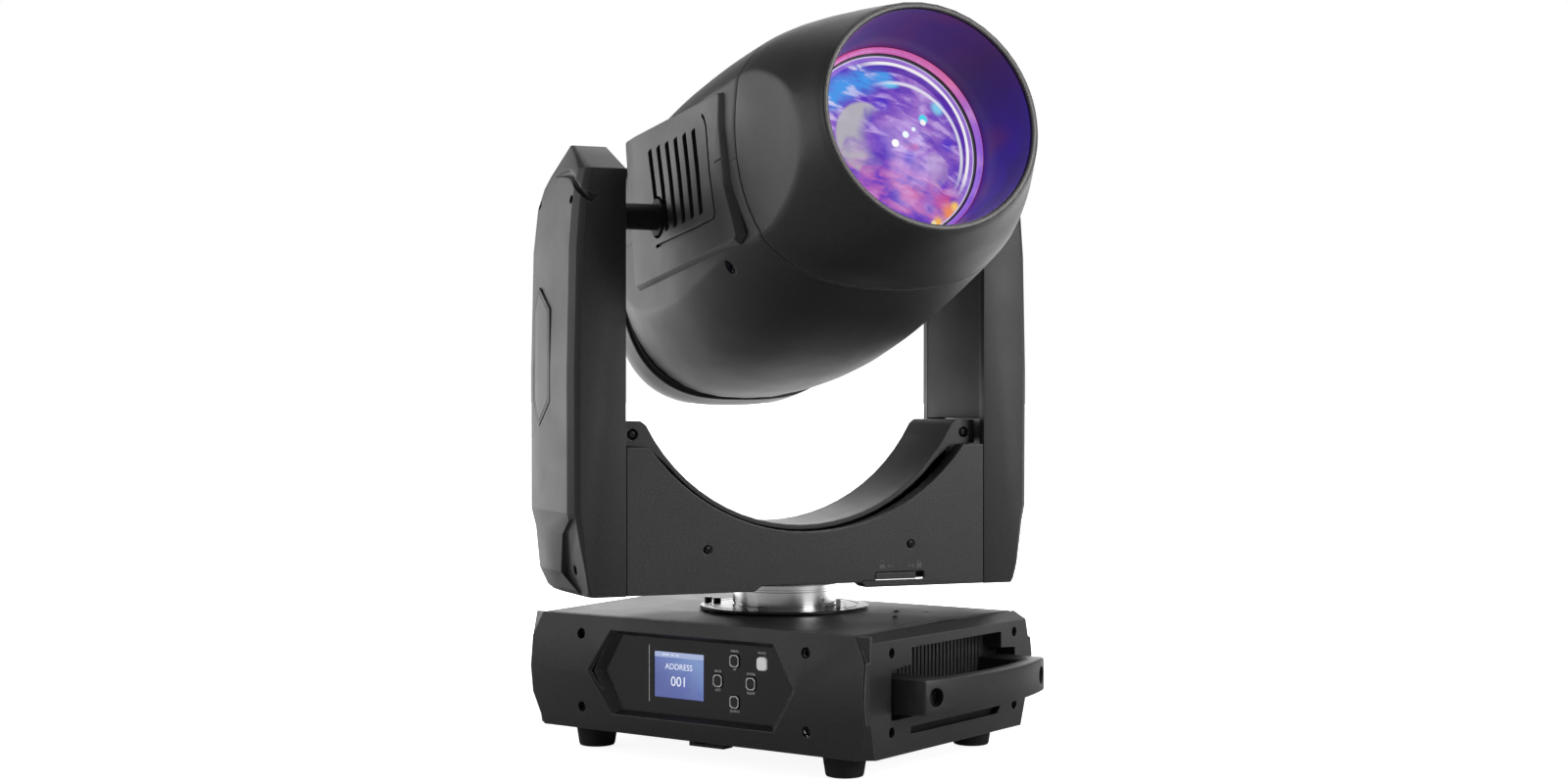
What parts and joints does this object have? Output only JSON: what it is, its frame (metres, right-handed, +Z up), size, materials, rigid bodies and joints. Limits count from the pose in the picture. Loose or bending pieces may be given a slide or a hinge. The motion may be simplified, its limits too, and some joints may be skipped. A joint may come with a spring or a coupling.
{
  "type": "moving head light",
  "caption": "Moving head stage light: a base with handles and display, a panning yoke with two arms and a tilting head with a large front lens.",
  "frame": {"origin": "centre of the mounting plate's face under the base, which is also on the pan axis; the feet reach 17.4 mm below it", "axes": "+Z up along the pan axis, -Y out of the base's front with the display, +X to the right seen from the front; the yoke is stored panned 59.03 degrees about +Z and the head tilted 11.59 degrees above level"},
  "size_m": [0.485, 0.4127, 0.5704],
  "materials": {
    "base_tray": "zinc plated sheet, satin",
    "base_top_cover": "fine spark texture",
    "base_front_cover": "fine spark texture",
    "base_rear_cover": "fine spark texture",
    "power_inlet": "fine spark texture",
    "data_inlet": "fine spark texture",
    "side_cover_right": "fine spark texture",
    "side_cover_left": "fine spark texture",
    "handle_right": "fine spark texture",
    "handle_left": "fine spark texture",
    "control_fascia": "glossy",
    "display_screen": "lit colour display",
    "foot_front_left": "matt",
    "foot_front_right": "matt",
    "foot_rear_left": "matt",
    "foot_rear_right": "matt",
    "safety_eye": "black",
    "power_supply": "folded sheet",
    "pan_shaft": "turned",
    "pan_ring_plate": "black",
    "pan_gear": "turned",
    "yoke_chassis": "zinc plated sheet, satin",
    "pan_bearing": "turned",
    "tilt_bearing_right": "turned",
    "tilt_bearing_left": "turned",
    "crossbar_front_cover": "fine spark texture",
    "crossbar_rear_cover": "fine spark texture",
    "saddle_liner": "fine spark texture",
    "arm_shell_right": "fine spark texture",
    "arm_shell_left": "fine spark texture",
    "arm_panel_right": "fine spark texture",
    "arm_panel_left": "fine spark texture",
    "pan_motor": "black steel laminations",
    "pan_belt": "matt",
    "tilt_motor": "black steel laminations",
    "tilt_belt": "matt",
    "head_upper_shell": "fine spark texture",
    "head_lower_shell": "fine spark texture",
    "head_front_cowl": "fine spark texture",
    "front_lens": "polished, coated",
    "head_rear_cap": "fine spark texture",
    "vent_panel_right": "fine spark texture",
    "vent_panel_left": "fine spark texture",
    "head_chassis": "zinc plated sheet, satin",
    "tilt_shaft_right": "turned",
    "tilt_shaft_left": "turned",
    "lamp_engine": "machined",
    "pan_motor_pulley": "turned",
    "tilt_motor_pulley": "turned",
    "pan_lock_slider": "fine spark texture",
    "colour_wheel": "machined",
    "gobo_wheel": "machined",
    "zoom_carriage": "machined",
    "focus_carriage": "machined",
    "fan_rotor": "fine spark texture",
    "menu_button_up": "satin",
    "menu_button_left": "satin",
    "menu_button_right": "satin",
    "menu_button_down": "satin",
    "wake_button": "satin"
  },
  "bodies": {
    "base": {"base_tray": "base_tray", "base_top_cover": "base_top_cover", "base_front_cover": "base_front_cover", "base_rear_cover": "base_rear_cover", "power_inlet": "power_inlet", "data_inlet": "data_inlet", "side_cover_right": "side_cover_right", "side_cover_left": "side_cover_left", "handle_right": "handle_right", "handle_left": "handle_left", "control_fascia": "control_fascia", "display_screen": "display_screen", "foot_front_left": "foot_front_left", "foot_front_right": "foot_front_right", "foot_rear_left": "foot_rear_left", "foot_rear_right": "foot_rear_right", "safety_eye": "safety_eye", "power_supply": "power_supply", "pan_shaft": "pan_shaft", "pan_ring_plate": "pan_ring_plate", "pan_gear": "pan_gear"},
    "yoke": {"yoke_chassis": "yoke_chassis", "pan_bearing": "pan_bearing", "tilt_bearing_right": "tilt_bearing_right", "tilt_bearing_left": "tilt_bearing_left", "crossbar_front_cover": "crossbar_front_cover", "crossbar_rear_cover": "crossbar_rear_cover", "saddle_liner": "saddle_liner", "arm_shell_right": "arm_shell_right", "arm_shell_left": "arm_shell_left", "arm_panel_right": "arm_panel_right", "arm_panel_left": "arm_panel_left", "pan_motor": "pan_motor", "pan_belt": "pan_belt", "tilt_motor": "tilt_motor", "tilt_belt": "tilt_belt"},
    "head": {"head_upper_shell": "head_upper_shell", "head_lower_shell": "head_lower_shell", "head_front_cowl": "head_front_cowl", "front_lens": "front_lens", "head_rear_cap": "head_rear_cap", "vent_panel_right": "vent_panel_right", "vent_panel_left": "vent_panel_left", "head_chassis": "head_chassis", "tilt_shaft_right": "tilt_shaft_right", "tilt_shaft_left": "tilt_shaft_left", "lamp_engine": "lamp_engine"},
    "pan_motor_pulley": {"pan_motor_pulley": "pan_motor_pulley"},
    "tilt_motor_pulley": {"tilt_motor_pulley": "tilt_motor_pulley"},
    "pan_lock_slider": {"pan_lock_slider": "pan_lock_slider"},
    "colour_wheel": {"colour_wheel": "colour_wheel"},
    "gobo_wheel": {"gobo_wheel": "gobo_wheel"},
    "zoom_carriage": {"zoom_carriage": "zoom_carriage"},
    "focus_carriage": {"focus_carriage": "focus_carriage"},
    "fan_rotor": {"fan_rotor": "fan_rotor"},
    "menu_button_up": {"menu_button_up": "menu_button_up"},
    "menu_button_left": {"menu_button_left": "menu_button_left"},
    "menu_button_right": {"menu_button_right": "menu_button_right"},
    "menu_button_down": {"menu_button_down": "menu_button_down"},
    "wake_button": {"wake_button": "wake_button"}
  },
  "joints": [
    {"name": "pan", "type": "hinge", "parent": "base", "child": "yoke", "pos_m": [0, 0, 0.12], "axis": [0, 0, 1], "range_deg": [-329.03, 210.97]},
    {"name": "tilt", "type": "hinge", "parent": "yoke", "child": "head", "pos_m": [0, 0, 0.4131], "axis": [-0.5146, -0.8574, 0], "range_deg": [-56.59, 213.41]},
    {"name": "pan_motor_spin", "type": "hinge", "parent": "yoke", "child": "pan_motor_pulley", "pos_m": [-0.05403, -0.09003, 0.131], "axis": [0, 0, 1], "continuous": true},
    {"name": "tilt_motor_spin", "type": "hinge", "parent": "yoke", "child": "tilt_motor_pulley", "pos_m": [-0.09005, -0.15005, 0.2], "axis": [-0.5146, -0.8574, 0], "continuous": true},
    {"name": "pan_lock", "type": "slide", "parent": "yoke", "child": "pan_lock_slider", "axis": [0.5146, 0.8574, 0], "range_m": [0, 0.007]},
    {"name": "colour_wheel_spin", "type": "hinge", "parent": "head", "child": "colour_wheel", "pos_m": [-0.02235, -0.0309, 0.43897], "axis": [0.84, -0.5041, 0.2009], "continuous": true},
    {"name": "gobo_wheel_spin", "type": "hinge", "parent": "head", "child": "gobo_wheel", "pos_m": [0.02851, 0.02721, 0.44178], "axis": [0.84, -0.5041, 0.2009], "continuous": true},
    {"name": "zoom", "type": "slide", "parent": "head", "child": "zoom_carriage", "axis": [0.84, -0.5041, 0.2009], "range_m": [-0.03, 0.015]},
    {"name": "focus", "type": "slide", "parent": "head", "child": "focus_carriage", "axis": [0.84, -0.5041, 0.2009], "range_m": [-0.012, 0.015]},
    {"name": "fan_spin", "type": "hinge", "parent": "head", "child": "fan_rotor", "pos_m": [-0.11759, 0.07057, 0.38497], "axis": [0.84, -0.5041, 0.2009], "continuous": true},
    {"name": "menu_button_up_press", "type": "slide", "parent": "base", "child": "menu_button_up", "axis": [0, 1, 0], "range_m": [0, 0.0008], "stiffness_N_per_m": 600},
    {"name": "menu_button_left_press", "type": "slide", "parent": "base", "child": "menu_button_left", "axis": [0, 1, 0], "range_m": [0, 0.0008], "stiffness_N_per_m": 600},
    {"name": "menu_button_right_press", "type": "slide", "parent": "base", "child": "menu_button_right", "axis": [0, 1, 0], "range_m": [0, 0.0008], "stiffness_N_per_m": 600},
    {"name": "menu_button_down_press", "type": "slide", "parent": "base", "child": "menu_button_down", "axis": [0, 1, 0], "range_m": [0, 0.0008], "stiffness_N_per_m": 600},
    {"name": "wake_button_press", "type": "slide", "parent": "base", "child": "wake_button", "axis": [0, 1, 0], "range_m": [0, 0.0008], "stiffness_N_per_m": 600}
  ],
  "couplings": [
    {"joint": "pan_motor_spin", "follows": "pan", "ratio": -4.8889},
    {"joint": "tilt_motor_spin", "follows": "tilt", "ratio": 4.5}
  ]
}
